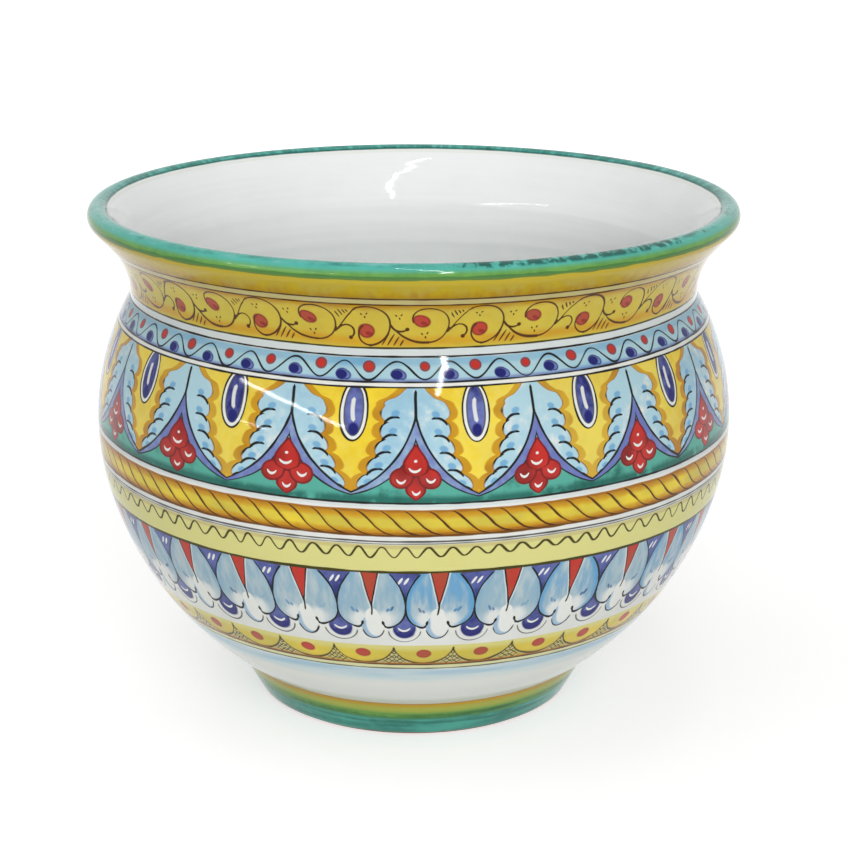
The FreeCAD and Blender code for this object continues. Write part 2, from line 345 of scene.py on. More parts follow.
class Glaze:
    """A painted glaze: each mark is laid over the marks before it, and all of it is glossy."""

    def __init__(self, name, ground, roughness=GLOSS):
        self.material = bpy.data.materials.new(name)
        self.material.use_nodes = True
        self.tree = self.material.node_tree
        self.shader = self.tree.nodes["Principled BSDF"]
        feed(self.shader.inputs["Roughness"], roughness)
        feed(self.shader.inputs["Specular IOR Level"], SHINE)
        self.object_place = add_node(self.tree, "TexCoord").outputs["Object"]

        # Noises, by how many fit in a metre: a shaky hand, the slow wheel, the grain, and the brush's load.
        self.shaky, self.shaky_up, self.tone = self.noise(34.0, 3.0)
        self.slow, self.slow_up, self.patch = self.noise(9.0, 2.0)
        self.grain = self.noise(220.0, 2.0)[0]
        self.load = self.noise(75.0, 1.0)[0]
        self.mottle = self.tone + self.grain * 0.5
        self.clouds = self.patch + self.grain * 0.5

        spot = add_node(self.tree, "UVMap", uv_map=PAINT_MAP).outputs["UV"]
        self.turn, along = parts(self.tree, "SeparateXYZ", spot)[:2]
        drift = self.slow_up.spread(0.8) + self.shaky_up.spread(0.25)
        self.along = along.scaled(1 / MM, 0.0) + drift
        self.streak = self.brush_marks(30.0, 0.05)
        self.relief = self.slow + self.shaky * 0.12
        self.paint = self.wash(ground, [share * 0.9 for share in ground], self.tone.ramp(0.3, 0.75))

    def noise(self, scale, detail):
        """Three soft noises in 0 to 1 that don't repeat round the pot."""
        inputs = {"Vector": self.object_place, "Scale": scale, "Detail": detail}
        return parts(self.tree, "SeparateColor", add_node(self.tree, "TexNoise", inputs).outputs["Color"])

    def brush_marks(self, rounds, rise):
        """Streaks of the brush, 0 to 1. Many rounds make them narrow, and a high rise makes them low."""
        angle = self.turn * (2 * math.pi)
        spot = {"X": angle.math("SINE") * rounds, "Y": angle.math("COSINE") * rounds, "Z": self.along * rise}
        spot = add_node(self.tree, "CombineXYZ", spot).outputs["Vector"]
        marks = add_node(self.tree, "TexNoise", {"Vector": spot, "Scale": 1.6, "Detail": 2.0})
        return Number(self.tree, marks.outputs[0])

    def cell(self, repeats, phase, base, radius, shift=0.0, wander=None):
        """The place in one repeat of a border: across from its middle, and up from its base line.

        A repeat's middle lies phase degrees round from the front, and the next repeats follow evenly,
        unless they wander by a share of a turn. The place also knows half a repeat's width and a chance
        number of the repeat's own.
        """
        offset = 0.5 - repeats * (0.5 + phase / 360)
        turns = self.turn.scaled(repeats, offset % 1.0 + shift)
        if wander is not None:
            turns = turns + wander * repeats
        number = turns.math("FLOOR").math("FLOORED_MODULO", float(repeats))
        dice = add_node(self.tree, "TexWhiteNoise", noise_dimensions="1D")
        feed(dice.inputs["W"], number)
        nudge, lift, chance = parts(self.tree, "SeparateColor", dice.outputs["Color"])
        share = turns.math("FRACT").spread(1.0)
        middle = 1.0 - share * share
        half = math.pi * radius / repeats
        across = share * half + middle * nudge.spread(0.9) + self.shaky.spread(0.9)
        up = self.along - base + middle * lift.spread(0.6) + self.shaky_up.spread(0.6)
        place = Place(across, up)
        place.half, place.chance = half, chance
        return place

    def wash(self, first, second, share):
        """A colour between two."""
        inputs = {"Factor": share, MIX_FIRST: first, MIX_SECOND: second}
        return add_node(self.tree, "Mix", inputs, data_type="RGBA").outputs[MIX_RESULT]

    def brushed(self, light, dark, low, high):
        """A wash that pools from light to dark as brushwork does."""
        return self.wash(light, dark, self.tone.ramp(low, high))

    def lay(self, paint, cover, strength=1.0):
        """Lays a colour where the cover is, over what is there."""
        if strength != 1.0:
            cover = cover * strength
        self.paint = self.wash(self.paint, paint, cover)

    def pen(self, paint, distance, width, where=None, strength=1.0):
        """A line where the distance is nought. It swells and thins as the brush's load does."""
        cover = (self.load.scaled(width * 0.7, width * 0.15) - abs(distance)).cover()
        if where is not None:
            cover = cover * where
        self.lay(paint, cover, strength)

    def rules(self, *lines):
        """Lines drawn round the pot on the wheel: (paint, along, width), or with a strength as well."""
        for paint, along, width, *strength in lines:
            self.pen(paint, self.along - along, width, None, *strength)

    def inside(self, low, high):
        """How far inside a band round the pot."""
        return (self.along - low).least(high - self.along)

    def band(self, paint, low, high, soft=SOFT, strength=1.0):
        """A band of colour round the pot, from low to high."""
        self.lay(paint, self.inside(low, high).cover(soft), strength)

    def fire(self):
        """Joins the painting to the glossy glaze, with the faint waves of the fired surface."""
        feed(self.shader.inputs["Base Color"], self.paint)
        bump = add_node(self.tree, "Bump", {**WAVES, "Height": self.relief})
        feed(self.shader.inputs["Normal"], bump.outputs["Normal"])
        return self.material


def vine_band():
    """The scrolling vine on the collar, between the white line of the neck and the cream line."""
    c = COLOURS
    glaze = Glaze("vine_glaze", c.straw)
    lay, pen, ink = glaze.lay, glaze.pen, c.brown_ink
    place = glaze.cell(repeats=18, phase=16.4, base=271.4, radius=165.0)
    up = place.up
    lay(c.ochre, (abs(up - 3.6) + glaze.grain * 2.0).fade(1.4, 5.4, 0.85))
    lay(c.umber, (up + glaze.grain * 1.6).ramp(20.5, 26.5), 0.9)
    lay(c.ochre, (glaze.patch + glaze.grain * 0.8).ramp(0.75, 1.2), 0.25)
    lay(c.yellow, (glaze.tone + glaze.load * 0.5).ramp(0.6, 0.95), 0.2)

    def at(x, y):
        """A point of the drawing, counted from the left end of the repeat."""
        return (x - place.half, y)

    for centre, sizes, lean in ((at(15.2, 9.4), (4.2, 3.9), -20), (at(43.2, 15.2), (4.5, 3.5), -30)):
        seed = place.oval(centre, sizes, lean)
        lay(glaze.brushed(c.brick, c.red, 0.45, 0.8), seed.cover(0.35))
        lay(c.dark_red, (seed - 0.2).line(0.9, 0.5), 0.75)
        lay(c.dark_red, place.dab((centre[0] + 1.4, centre[1] - 1.6), 2.0, 1.1, lean), 0.6)

    stem = place.across.graph([at(0, 9.6), at(3.2, 14.0), at(7.5, 19.6), at(11.5, 23.2), at(19.0, 24.0),
                               at(27.4, 13.4), at(31.0, 8.8), at(35.6, 5.2), at(41.0, 3.2), at(47.4, 2.8)])
    left_run = (place.across - (11.0 - place.half)).fade(-0.4, 0.4)
    right_run = abs(place.across - (37.2 - place.half)).fade(9.6, 10.2)
    pen(ink, (up - stem) * 0.72, 0.95, left_run.most(right_run))

    # Curls: a ring's centre and radius, the line that it is drawn to the left of, and the pen.
    for centre, radius, start, end, width in (
            (at(16.0, 12.9), 11.5, at(10.0, 22.9), at(16.4, 1.2), 1.05),
            (at(16.9, 7.4), 5.8, at(17.3, 1.7), at(13.6, 12.6), 0.9),
            (at(46.6, 13.2), 10.4, at(42.6, 20.8), at(46.0, 2.8), 0.95),
            (at(45.4, 16.6), 6.7, at(39.2, 14.0), at(45.2, 23.2), 0.8),
            (at(5.0, 8.7), 3.8, at(2.6, 12.4), at(7.4, 5.4), 1.0)):
        pen(ink, place.ring(centre, radius), width, place.bowed(start, end, 0.0)[0].cover())
    lay(ink, place.stroke(at(27.4, 13.4), at(36.4, 10.0), -2.6, 1.25))
    lay(ink, place.stroke(at(-0.2, 9.4), at(3.6, 12.4), 0.3, 1.1))
    for x, y in ((36.0, 10.2), (6.9, 5.4)):
        lay(ink, place.ring(at(x, y), 1.1).cover())

    # Short dabs: the bud, two rows of hatching and three bunches of three.
    dabs = [(56.9, 9.6, 1.8, 0.9, 60)]
    dabs += [(x, y, reach, 0.45, 60)
             for x, y, reach in ((25.2, 5.0, 3.8), (27.9, 4.6, 3.6), (30.6, 3.8, 2.8), (33.3, 2.8, 1.9))]
    dabs += [(x, y, reach, 0.42, 118)
             for x, y, reach in ((0.6, 19.2, 2.8), (2.6, 20.0, 2.2), (4.4, 20.6, 1.5), (6.0, 21.2, 1.0))]
    dabs += [(x + step_x, y + step_y, 0.75, 0.42, lean) for x, y in ((14.6, 18.6), (32.0, 17.8), (45.0, 6.8))
             for step_x, step_y, lean in ((-1.5, 0.7, 120), (1.2, 1.1, 60), (0.2, -1.2, 100))]
    for x, y, reach, width, lean in dabs:
        lay(ink, place.dab(at(x, y), reach, width, lean))
    glaze.band(glaze.wash(c.white, c.mist, 0.3), 266.7, 271.1)
    glaze.rules((c.olive_ink, 271.1, 1.0), (c.ink, 266.7, 1.0))
    glaze.band(glaze.brushed(c.cream, c.umber, 0.5, 1.1), 297.2, 303.0)
    glaze.rules((ink, 297.2, 1.1))
    return glaze.fire()


def wave_band():
    """The blue band above the large frieze: a wave with red and navy drops in its bends."""
    c = COLOURS
    glaze = Glaze("wave_glaze", c.white)
    lay, along = glaze.lay, glaze.along
    low, high = 253.9, 266.0
    glaze.band(glaze.brushed(c.pale_blue, c.blue, 0.4, 0.9), low, high)
    lay(c.blue, abs(along - (high - 1.8)).fade(0.8, 3.4, 0.4))
    lay(c.pale_blue, abs(along - (low + 5.0)).fade(0.5, 4.5, 0.8))
    lay(c.violet, (abs(along - (low + 0.6)) + glaze.tone).fade(0.4, 2.4, 0.8))
    border = {"repeats": 39, "phase": 1.6, "base": 254.7, "radius": 165.0}
    place, between = glaze.cell(**border), glaze.cell(**border, shift=0.5)
    middle, swing = 4.9, 4.6
    turn = math.pi / place.half
    angle = place.across * turn
    wave = place.up - angle.math("COSINE").scaled(-swing, middle)
    glaze.pen(c.ink, across_slope(wave, angle.math("SINE") * (swing * turn)), 0.9)
    berry = place.oval((0.0, 6.9), (3.3, 3.1), -12) + glaze.tone.scaled(2.0, -1.2)
    lay(c.dark_red, berry.cover(0.3), 0.9)
    lay(glaze.brushed(c.red, c.brick, 0.5, 0.9), (berry - 0.75 - glaze.load * 0.4).cover(0.4))
    tail = between.oval((1.7, 2.6), (2.5, 1.9), -32)
    drop = between.oval((-0.3, 3.0), (3.2, 2.5), -6).most(tail)
    lay(glaze.brushed(c.violet, c.blue, 0.5, 0.9), drop.cover(0.3))
    lay(c.navy, between.oval((-0.6, 2.8), (2.9, 2.2), -8).cover(0.3))
    lay(c.navy, drop.line(0.7, 0.3), 0.85)
    glaze.band(c.white, 250.0, low)
    glaze.band(c.white, high + 0.2, 272.0)
    glaze.rules((c.ink, low, 0.9), (c.ink, 251.3, 0.9), (c.ink, 266.7, 1.0))
    return glaze.fire()


def large_frieze():
    """The large frieze: ogival cells of yellow with blue scalloped leaves, and berries between them."""
    c = COLOURS
    glaze = Glaze("frieze_glaze", c.yellow)
    border = {"repeats": 18, "phase": 10.0, "base": 194.0, "radius": 175.0,
              "wander": glaze.turn.ramp(0.1, 0.28) * glaze.turn.ramp(0.33, 0.5, 0.0105, -0.001)}
    place, bunch = glaze.cell(**border), glaze.cell(**border, shift=0.5)
    frieze_leaves(glaze, place)
    frieze_corners(glaze, place, bunch)

    # The white oval in the middle of each cell, with its dark eye.
    heart = place.oval((0.0, 45.0), (6.9, 14.8))
    eye = place.oval((0.1, 45.4), (4.9, 12.8))
    glaze.lay(c.white, heart.cover())
    glaze.pen(c.ink, heart, 0.95)
    glaze.lay(c.ink, (eye + 0.2).cover(), 0.9)
    glaze.lay(glaze.wash(c.violet, c.navy, glaze.mottle.ramp(0.5, 1.0)), (eye - 0.5).cover(0.3))
    glaze.lay(c.navy, place.oval((0.3, 36.0), (2.6, 3.2)).cover(0.8))
    glaze.lay(c.white, place.stroke((0.4, 39.6), (-0.2, 52.0), 0.6, 2.0, 0.35), 0.9)

    glaze.band(c.white, 251.1, 260.0)
    glaze.rules((c.ink, 251.3, 0.9))
    glaze.band(glaze.wash(c.white, c.mist, 0.3), 180.0, 193.6)
    glaze.rules((c.ink, 193.6, 1.0))
    return glaze.fire()


def frieze_leaves(glaze, place):
    """The leaves up both sides of a cell: round lobes that reach to its middle, with notches between."""
    c, lay = COLOURS, glaze.lay
    side, up = abs(place.across), place.up
    first_notch, lobe_height, depth, notches = 6.2, 8.6, 3.4, 5
    edge = [(0.0, -1.0), (4.0, 0.2), (6.0, 0.9), (9.5, 2.9), (15.0, 6.0), (22.0, 9.2), (31.0, 12.4),
            (39.0, 13.6), (47.0, 13.6), (50.0, 15.6), (52.5, 21.0), (57.5, 26.2)]
    scallop = [(0.0, 1.0), (0.1, 0.5), (0.3, 0.08), (0.5, 0.0), (0.72, 0.12), (0.9, 0.55), (1.0, 1.0)]
    lobe = (up + place.across * 0.04 - first_notch).scaled(1 / lobe_height, 1.0).math("FRACT")
    notch = lobe.graph(scallop) * up.fade(46.0, 50.0)
    leaf = side - up.graph(edge) - notch * glaze.shaky.scaled(2.4, depth - 1.2)
    ochre = glaze.wash(c.ochre, c.umber, (glaze.load + glaze.tone * 0.4).ramp(0.55, 1.0, 0.0, 0.7))
    lay(c.ochre, (glaze.mottle + glaze.patch * 0.5).ramp(0.8, 1.3, 0.0, 0.3))
    lay(c.lemon, (glaze.patch + glaze.grain * 0.4).fade(0.5, 0.85, 0.32))
    lay(ochre, (leaf + glaze.load * 1.6).ramp(-4.0, -2.8) * glaze.patch.ramp(0.3, 0.5, 0.7, 1.0))
    wash = glaze.wash(c.white, c.pale_blue, glaze.mottle.ramp(0.4, 0.72))
    lay(glaze.wash(wash, c.blue, glaze.clouds.ramp(0.66, 1.0, 0.0, 0.35)), leaf.cover(0.3))
    glaze.pen(c.umber, leaf, 0.8, strength=0.8)
    drawn = lobe.ramp(0.25, 0.6) * up.fade(44.0, 47.0) * up.ramp(5.0, 7.5)
    glaze.pen(c.ink, leaf, 1.15, drawn * place.across.ramp(-2.0, 2.0, 0.45, 1.0))
    mirrored = Place(side, up)
    for level in (first_notch + number * lobe_height for number in range(notches)):
        reach = float(np.interp(level, *zip(*edge))) + depth
        lay(c.ink, mirrored.stroke((reach - 2.2, level - 1.8), (reach + 6.0, level + 1.6), 1.7, 1.35))
        lay(c.blue, mirrored.oval((reach + 3.6, level + 3.8), (2.1, 1.5), 20).cover(0.6), 0.75)


def frieze_corners(glaze, place, bunch):
    """What lies under each pair of arches: a violet border, teal ground and a bunch of berries."""
    c, lay, up = COLOURS, glaze.lay, place.up
    corner = Place(place.half - abs(place.across), up)
    outer = corner.bowed((0.0, 43.4), (place.half, 4.2), -5.6)[0]
    inner = corner.bowed((0.0, 31.6), (place.half, 3.0), -5.6)[0]
    ground = (-inner).cover()
    lay(glaze.wash(c.violet, c.pale_blue, glaze.clouds.ramp(0.55, 1.1, 0.0, 0.7)), (-outer).cover())
    teal = glaze.wash(c.teal, c.turquoise, glaze.patch.ramp(0.5, 0.7))
    lay(glaze.wash(teal, c.deep_teal, glaze.mottle.ramp(0.75, 1.05)), (-inner).cover(0.3))
    lay(c.deep_teal, (up - 1.6).fade(0.0, 3.6, 0.85) * ground * glaze.mottle.ramp(0.5, 0.7))
    lay(c.pale_blue, ground * up.ramp(20.0, 28.0, 0.0, 0.8))
    glaze.pen(c.ink, outer, 1.1)
    glaze.pen(c.ink, inner, 0.8)
    lay(c.ink, corner.stroke((0.0, 56.5), (0.0, 41.0), 0.0, 1.5))

    # The berries: the lowest, the one at the side, and the drop at the top, each dark at its edge.
    lowest = [(-0.6, -4.0), (1.4, 0.0), (3.2, 2.6), (5.8, 4.5), (8.2, 4.5), (11.0, 3.0), (13.0, 0.0),
              (15.0, -4.0)]
    drop = [(11.4, -4.0), (13.4, 0.0), (14.4, 3.6), (16.4, 5.7), (19.6, 5.9), (22.8, 4.6), (26.2, 2.4),
            (29.4, 0.0), (33.0, -4.0)]
    berries = ((up.graph(lowest) - corner.across) * 0.8, corner.oval((6.8, 12.4), (5.5, 4.9), -24),
               (up.graph(drop) - corner.across) * 0.85)
    red = glaze.wash(glaze.brushed(c.red, c.brick, 0.5, 0.9), c.dark_red,
                     (glaze.load + glaze.tone * 0.8).ramp(0.65, 1.25))
    lay(c.dark_red, corner.oval((0.0, 13.0), (2.8, 2.6)).cover())
    for berry in berries:
        lay(c.dark_red, (berry + 0.5).cover())
        lay(red, (berry - 0.5).cover(0.5))
    for x, y, reach in ((-0.6, 17.2, 3.2), (-7.2, 11.4, 2.4), (7.4, 11.8, 2.4), (0.2, 5.6, 2.2)):
        lay(c.white, bunch.stroke((x - reach, y + 0.9), (x + reach, y + 0.7), -1.8, 1.3))
    lay(c.white, bunch.dab((-0.2, 21.6), 0.8, 0.7, 20))


def rope_band():
    """The twisted rope at the widest line, and the zigzag on pale yellow under it."""
    c = COLOURS
    glaze = Glaze("rope_glaze", c.white)
    lay, along, turn = glaze.lay, glaze.along, glaze.turn
    low, high, count, radius = 176.8, 189.6, 94, 178.0
    inside = glaze.inside(low, high).cover()
    lay(glaze.brushed(c.straw, c.yellow, 0.3, 0.8), inside)
    from_middle = abs(along - (low + high) / 2) + glaze.grain.spread(1.0)
    lay(c.ochre, from_middle.ramp(1.4, 4.4, 0.0, 0.95) * inside)
    lay(c.umber, from_middle.ramp(3.8, 6.6, 0.0, 0.7) * inside)
    glaze.rules((c.umber, high + 0.1, 1.3), (c.umber, low + 0.3, 2.2))
    pitch = 2 * math.pi * radius / count
    lean = [(0.0, 18.4), (0.9, 14.4), (2.6, 10.8), (8.8, 4.4), (11.2, 2.0), (12.8, -0.6)]
    reach = (along - low).graph(lean)
    twist = turn.scaled(count, 0.0) - (reach + glaze.shaky * 5.0) / pitch
    strand = twist.math("FRACT").spread(pitch / 2)
    lay(c.ochre, strand.fade(0.0, 3.0, 0.6) * strand.ramp(-0.2, 0.0) * inside)
    glaze.pen(c.brown_ink, strand * along.ramp(low, low + 3.0, 0.3, 0.72), 1.05, inside)
    glaze.rules((c.brown_ink, low - 0.3, 1.2, 0.75), (c.ink, 173.3, 0.9, 0.9), (c.ink, 172.0, 0.7, 0.7))
    glaze.band(glaze.brushed(c.lemon, c.straw, 0.55, 1.3), 150.0, 171.4, 0.5)
    lay(c.cream, along.ramp(168.5, 170.0) * along.fade(171.2, 171.6), 0.8)
    middle, swing = 167.2, 3.8
    angle = turn.scaled(2 * math.pi * count, 0.8) + glaze.slow * 3.0 + glaze.shaky * 2.4
    height = glaze.slow_up.scaled(2.6, 0.3) + glaze.shaky * 2.4
    zigzag = along - middle - angle.math("SINE") * height
    glaze.pen(c.olive_ink, across_slope(zigzag, angle.math("COSINE") * (swing * count / radius)), 0.9)
    glaze.rules((c.olive_ink, 155.4, 1.3))
    return glaze.fire()


def leaf_frieze():
    """The lower frieze: pairs of white petals round a red dart, with blue shields and balls between."""
    c = COLOURS
    glaze = Glaze("leaf_glaze", c.white)
    border = {"repeats": 30, "phase": 4.6, "base": 104.0, "radius": 162.0}
    place, between = glaze.cell(**border), glaze.cell(**border, shift=0.5)
    shields(glaze, place.up, between)
    petals(glaze, place)
    red_dart(glaze, place)
    glaze.band(c.lemon, 155.0, 166.0)
    glaze.rules((c.olive_ink, 155.4, 1.5))
    return glaze.fire()


def shields(glaze, up, between):
    """Shield and ball, centred on the line between two pairs of petals."""
    c, lay = COLOURS, glaze.lay
    blue = glaze.wash(c.violet, c.navy, glaze.mottle.ramp(0.5, 1.15, 0.1, 1.0))
    lay(blue, up.ramp(29.0, 30.0))
    lay(c.navy, (up + glaze.mottle * 4.0).fade(38.0, 45.0, 0.9) * up.ramp(29.0, 30.0))
    for x in (-1.5, 1.3):
        lay(c.white, between.dab((x, 46.2), 2.4, 0.65, 62))
    ball = between.oval((0.0, 14.2), (6.0, 7.6))
    lay(blue, ball.cover())
    stalk = (2.6 - abs(between.across)).cover()
    lay(blue, stalk * up.ramp(18.0, 19.0) * up.fade(24.0, 25.0))
    lay(c.navy, (ball - 1.0).line(2.2, 0.8) * up.ramp(12.0, 17.0, 1.0, 0.35), 0.9)
    lay(c.navy, between.oval((0.6, 10.0), (4.6, 3.2)).cover(0.9), 0.9)
    lay(c.white, between.stroke((-3.4, 14.6), (3.4, 14.4), -2.2, 1.5))
    glaze.pen(c.ink, between.oval((0.0, 12.0), (8.4, 8.4)), 0.75, up.fade(10.8, 12.4), 0.85)


def petals(glaze, place):
    """A pair of petals in front of the balls, and the tongue between them. Some pairs are bluer."""
    c, lay, up = COLOURS, glaze.lay, place.up
    side = abs(place.across)
    mirrored = Place(side, up)
    waist = 26.5
    shoulder = [(waist, 16.9), (30.0, 17.05), (35.0, 16.4), (41.0, 14.7), (45.0, 12.8), (49.0, 10.4),
                (51.5, 8.4)]
    upper = (up.graph(shoulder) - side) * 0.92
    lower = mirrored.oval((7.0, waist), (9.9, 11.8))
    above = up.ramp(waist - 0.3, waist + 0.3)
    petal = upper * above + lower * (1.0 - above)
    hair = (glaze.streak * 1.6 + glaze.tone).ramp(0.9, 1.7)
    deep = place.chance.ramp(0.55, 0.8, 0.25, 1.0)
    lay(c.white, petal.cover())
    lay(c.mist, petal.cover() * up.ramp(15.0, 27.0, 0.45, 1.0) * hair.scaled(0.3, 0.75))
    lay(c.blue, petal.cover() * hair * up.ramp(20.0, 36.0, 0.3, 0.9) * deep.scaled(0.8, 0.1))
    lay(c.blue, (petal - 1.2).line(2.6, 1.2) * deep, 0.9)
    lay(c.white, mirrored.oval((6.2, 20.0), (4.2, 5.8)).cover(2.4), 0.85)
    glaze.pen(c.ink, petal, 0.95, up.fade(49.6, 51.0))
    touch = glaze.wash(c.blue, c.navy, glaze.load.ramp(0.35, 0.7, 0.3, 0.8))
    for x, y, reach in ((9.4, 26.8, 1.9), (7.4, 25.8, 1.3)):
        lay(touch, place.dab((-x, y), reach, 0.7, 112), 0.75)
        lay(touch, place.dab((x + 0.8, y + 0.9), reach, 0.75, 64), place.chance.ramp(0.2, 0.6, 0.2, 0.9))
    tongue = place.oval((0.0, 15.0), (5.8, 9.0))
    lay(c.white, tongue.cover())
    lay(c.blue, tongue.cover() * (-place.oval((1.6, 16.4), (5.0, 8.8))).cover(0.7), 0.65)
    glaze.pen(c.ink, tongue, 0.8, up.fade(11.0, 13.5))
    lay(c.white, place.oval((0.0, 22.0), (3.8, 6.0)).cover(0.6))
    lay(c.ink, mirrored.stroke((12.0, 16.4), (5.0, 18.8), 3.4, 1.35))
    lay(c.ink, mirrored.dab((5.3, 17.6), 1.6, 0.75, 100))


def red_dart(glaze, place):
    """The red dart between two petals."""
    c, lay, up = COLOURS, glaze.lay, place.up
    dart = up.ramp(29.4, 51.0, 0.0, 4.1, smooth=False) - abs(place.across)
    lay(c.white, (dart + 1.0).cover() * up.ramp(26.0, 29.5), 0.7)
    lay(glaze.wash(c.red, c.brick, glaze.mottle.ramp(0.5, 1.0)), dart.cover() * up.ramp(29.2, 30.0))
    glaze.pen(c.ink, dart, 0.65, up.ramp(28.6, 29.6))
    lay(c.ink, place.stroke((0.1, 33.0), (-0.2, 23.0), 0.3, 0.9))


def arch_band():
    """The band of little arches with a seed in each, and the plain haunch under it."""
    c = COLOURS
    glaze = Glaze("haunch_glaze", c.white)
    lay, along = glaze.lay, glaze.along
    low, high = 86.6, 103.8
    glaze.band(glaze.brushed(c.straw, c.yellow, 0.4, 0.9), low, high, 0.5)
    lay(c.lemon, along.ramp(97.0, 103.0, 0.0, 0.8) * along.fade(high - 0.5, high + 0.5))
    place = glaze.cell(repeats=31, phase=1.9, base=low, radius=158.0)
    across, up = place.across, place.up
    gap = place.half - abs(across)
    arch = gap.graph([(0.0, 15.6), (0.8, 12.8), (2.5, 9.2), (5.0, 6.0), (8.5, 3.6), (12.0, 2.2), (16.5, 1.6)])
    under = (arch - up) * 0.8
    lay(c.ochre, (up - arch).fade(0.4, 4.0, 0.55) * up.ramp(2.0, 8.0, 1.0, 0.3))
    lay(glaze.wash(c.cream, c.straw, glaze.tone.ramp(0.4, 0.8)), under.cover())
    lay(c.ochre, up.fade(0.5, 4.0, 0.6) * under.cover())
    lines_per_mm = 0.27
    hatch, cross = [(slant * lines_per_mm).math("PINGPONG", 0.5).fade(0.07, 0.17)
                    for slant in (across + up, across - up)]
    lay(c.olive_ink, under.cover() * hatch.most(cross) * (gap + glaze.load * 4.0).ramp(5.0, 9.5, 1.0, 0.15))
    glaze.pen(c.olive_ink, under, 1.25)
    point = (0.6 - gap).least(15.4 - up).least(up - 12.6)
    lay(c.olive_ink, point.cover(0.3))
    seed = place.oval((0.0, 10.6), (4.0, 3.6), -8)
    lay(glaze.brushed(c.brick, c.red, 0.45, 0.8), seed.cover(0.5))
    lay(c.dark_red, (seed - 0.3).line(0.9, 0.5), 0.35)

    glaze.band(c.white, 20.0, low, 0.4)
    cloud = (glaze.brush_marks(2.0, 0.12) + glaze.patch).ramp(0.7, 1.25, 0.4, 1.0)
    lay(c.pale_blue, abs(along - 76.5).fade(2.0, 13.0, 0.9) * cloud)
    lay(c.blue, abs(along - 78.0).fade(1.0, 5.0, 0.35) * cloud)
    lay(c.leaf_green, along.fade(28.0, 46.0, 0.4) * glaze.patch.ramp(0.42, 0.62))
    glaze.band(c.lemon, 82.6, low, 0.4, 0.75)
    glaze.rules((c.umber, low + 0.6, 2.2), (c.brown_ink, low, 1.3), (c.olive_ink, 82.7, 1.2, 0.85))
    lay(c.umber, along.fade(28.4, 29.4, 0.8))
    return glaze.fire()


def lip_glaze():
    """Ochre under the lip, green where the two glazes meet, and brushed turquoise over the roll."""
    c = COLOURS
    glaze = Glaze("lip_glaze", c.turquoise)
    lay, along, streak = glaze.lay, glaze.along, glaze.streak
    mottle = glaze.brush_marks(6.0, 0.2) + glaze.grain * 0.5
    lay(c.deep_green, mottle.ramp(0.7, 1.05, 0.0, 0.75) * along.ramp(321.0, 326.0))
    lay(c.pale_blue, mottle.fade(0.5, 0.7, 0.25) * along.ramp(321.0, 325.0))
    near_blots = abs(glaze.turn - 0.58).fade(0.04, 0.075, 0.24)
    blot = (glaze.patch * 0.3 + streak * 0.4 + glaze.grain * 0.7 + near_blots).ramp(0.86, 0.98)
    lay(c.deep_green, along.ramp(325.0, 331.0, 0.0, 0.5) * streak.ramp(0.3, 0.6))
    lay(c.deep_green, blot * along.ramp(321.5, 323.5), 0.9)
    fall = along * -0.08 + streak * 0.8 + glaze.grain * 0.5
    ochre = glaze.wash(c.lip_ochre, c.umber, fall.ramp(-24.3, -23.2, 0.0, 0.8))
    green = glaze.wash(c.leaf_green, c.leaf_ink, (glaze.tone + glaze.grain * 0.6).ramp(0.6, 1.2, 0.0, 0.6))
    glaze.band(green, 300.0, 320.8, 1.8)
    glaze.band(ochre, 302.2, 317.0, 1.2)
    glaze.rules((c.leaf_ink, 317.4, 2.2, 0.8))
    glaze.band(glaze.brushed(c.cream, c.umber, 0.5, 1.1), 297.4, 302.2)
    glaze.rules((c.brown_ink, 301.9, 1.2))
    lay(c.white, along.ramp(332.4, 333.2))
    glaze.rules((c.deep_green, 332.2, 1.4, 0.6))
    return glaze.fire()


def foot_glaze():
    """The foot ring: ochre at the top, through leaf green to turquoise at the table."""
    c = COLOURS
    glaze = Glaze("foot_glaze", c.turquoise)
    along = glaze.along
    pool = (glaze.brush_marks(1.6, 0.22) + glaze.grain * 0.3 + glaze.tone * 0.4).ramp(0.65, 1.05)
    for paint, cover in ((c.deep_teal, pool * along.ramp(2.0, 14.0, 0.4, 0.7)),
                         (glaze.wash(c.leaf_ink, c.leaf_green, pool), along.ramp(12.5, 16.5)),
                         (c.leaf_green, along.ramp(17.5, 20.5)),
                         (glaze.wash(c.straw, c.leaf_green, 0.3), along.ramp(18.5, 22.5, 0.0, 0.85)),
                         (c.ochre, along.ramp(24.0, 26.0, 0.0, 0.7)),
                         (c.umber, along.ramp(26.6, 27.8) * 0.4)):
        glaze.lay(paint, cover)
    return glaze.fire()


def inner_glaze():
    """Plain white tin glaze of the inside and the underside, over the soft ridges that throwing leaves. Its
    white is painted lighter than the outer white: painted light for the shaded inside.
    """
    if "white_glaze" in bpy.data.materials:
        return bpy.data.materials["white_glaze"]
    # The ground and the ring marks use the tin glaze painted lighter than the outer white: painted light.
    glaze = Glaze("white_glaze", COLOURS.inner_white, INNER_GLOSS)
    rings = glaze.brush_marks(0.5, 0.06)
    glaze.lay(COLOURS.inner_white, rings.ramp(0.3, 0.7, 0.6, 1.0))
    glaze.relief = glaze.relief + rings * 1.5
    return glaze.fire()


def bare_clay():
    """Unglazed clay of the standing edge."""
    glaze = Glaze("bare_clay", COLOURS.clay, BARE)
    glaze.lay([share * 0.7 for share in COLOURS.clay], glaze.tone.ramp(0.4, 0.8))
    return glaze.fire()


def arc_points(centre, start, end):
    """Points on an arc about a centre, the shorter way round from start to end."""
    centre, start, end = (np.array(point) for point in (centre, start, end))
    first = math.atan2(*(start - centre)[::-1])
    last = math.atan2(*(end - centre)[::-1])
    sweep = (last - first + math.pi) % (2 * math.pi) - math.pi
    radius = np.linalg.norm(start - centre)
    angles = first + sweep * np.linspace(0.0, 1.0, max(3, int(abs(sweep) * radius / ARC_STEP)))
    return centre + radius * np.stack([np.cos(angles), np.sin(angles)], 1)


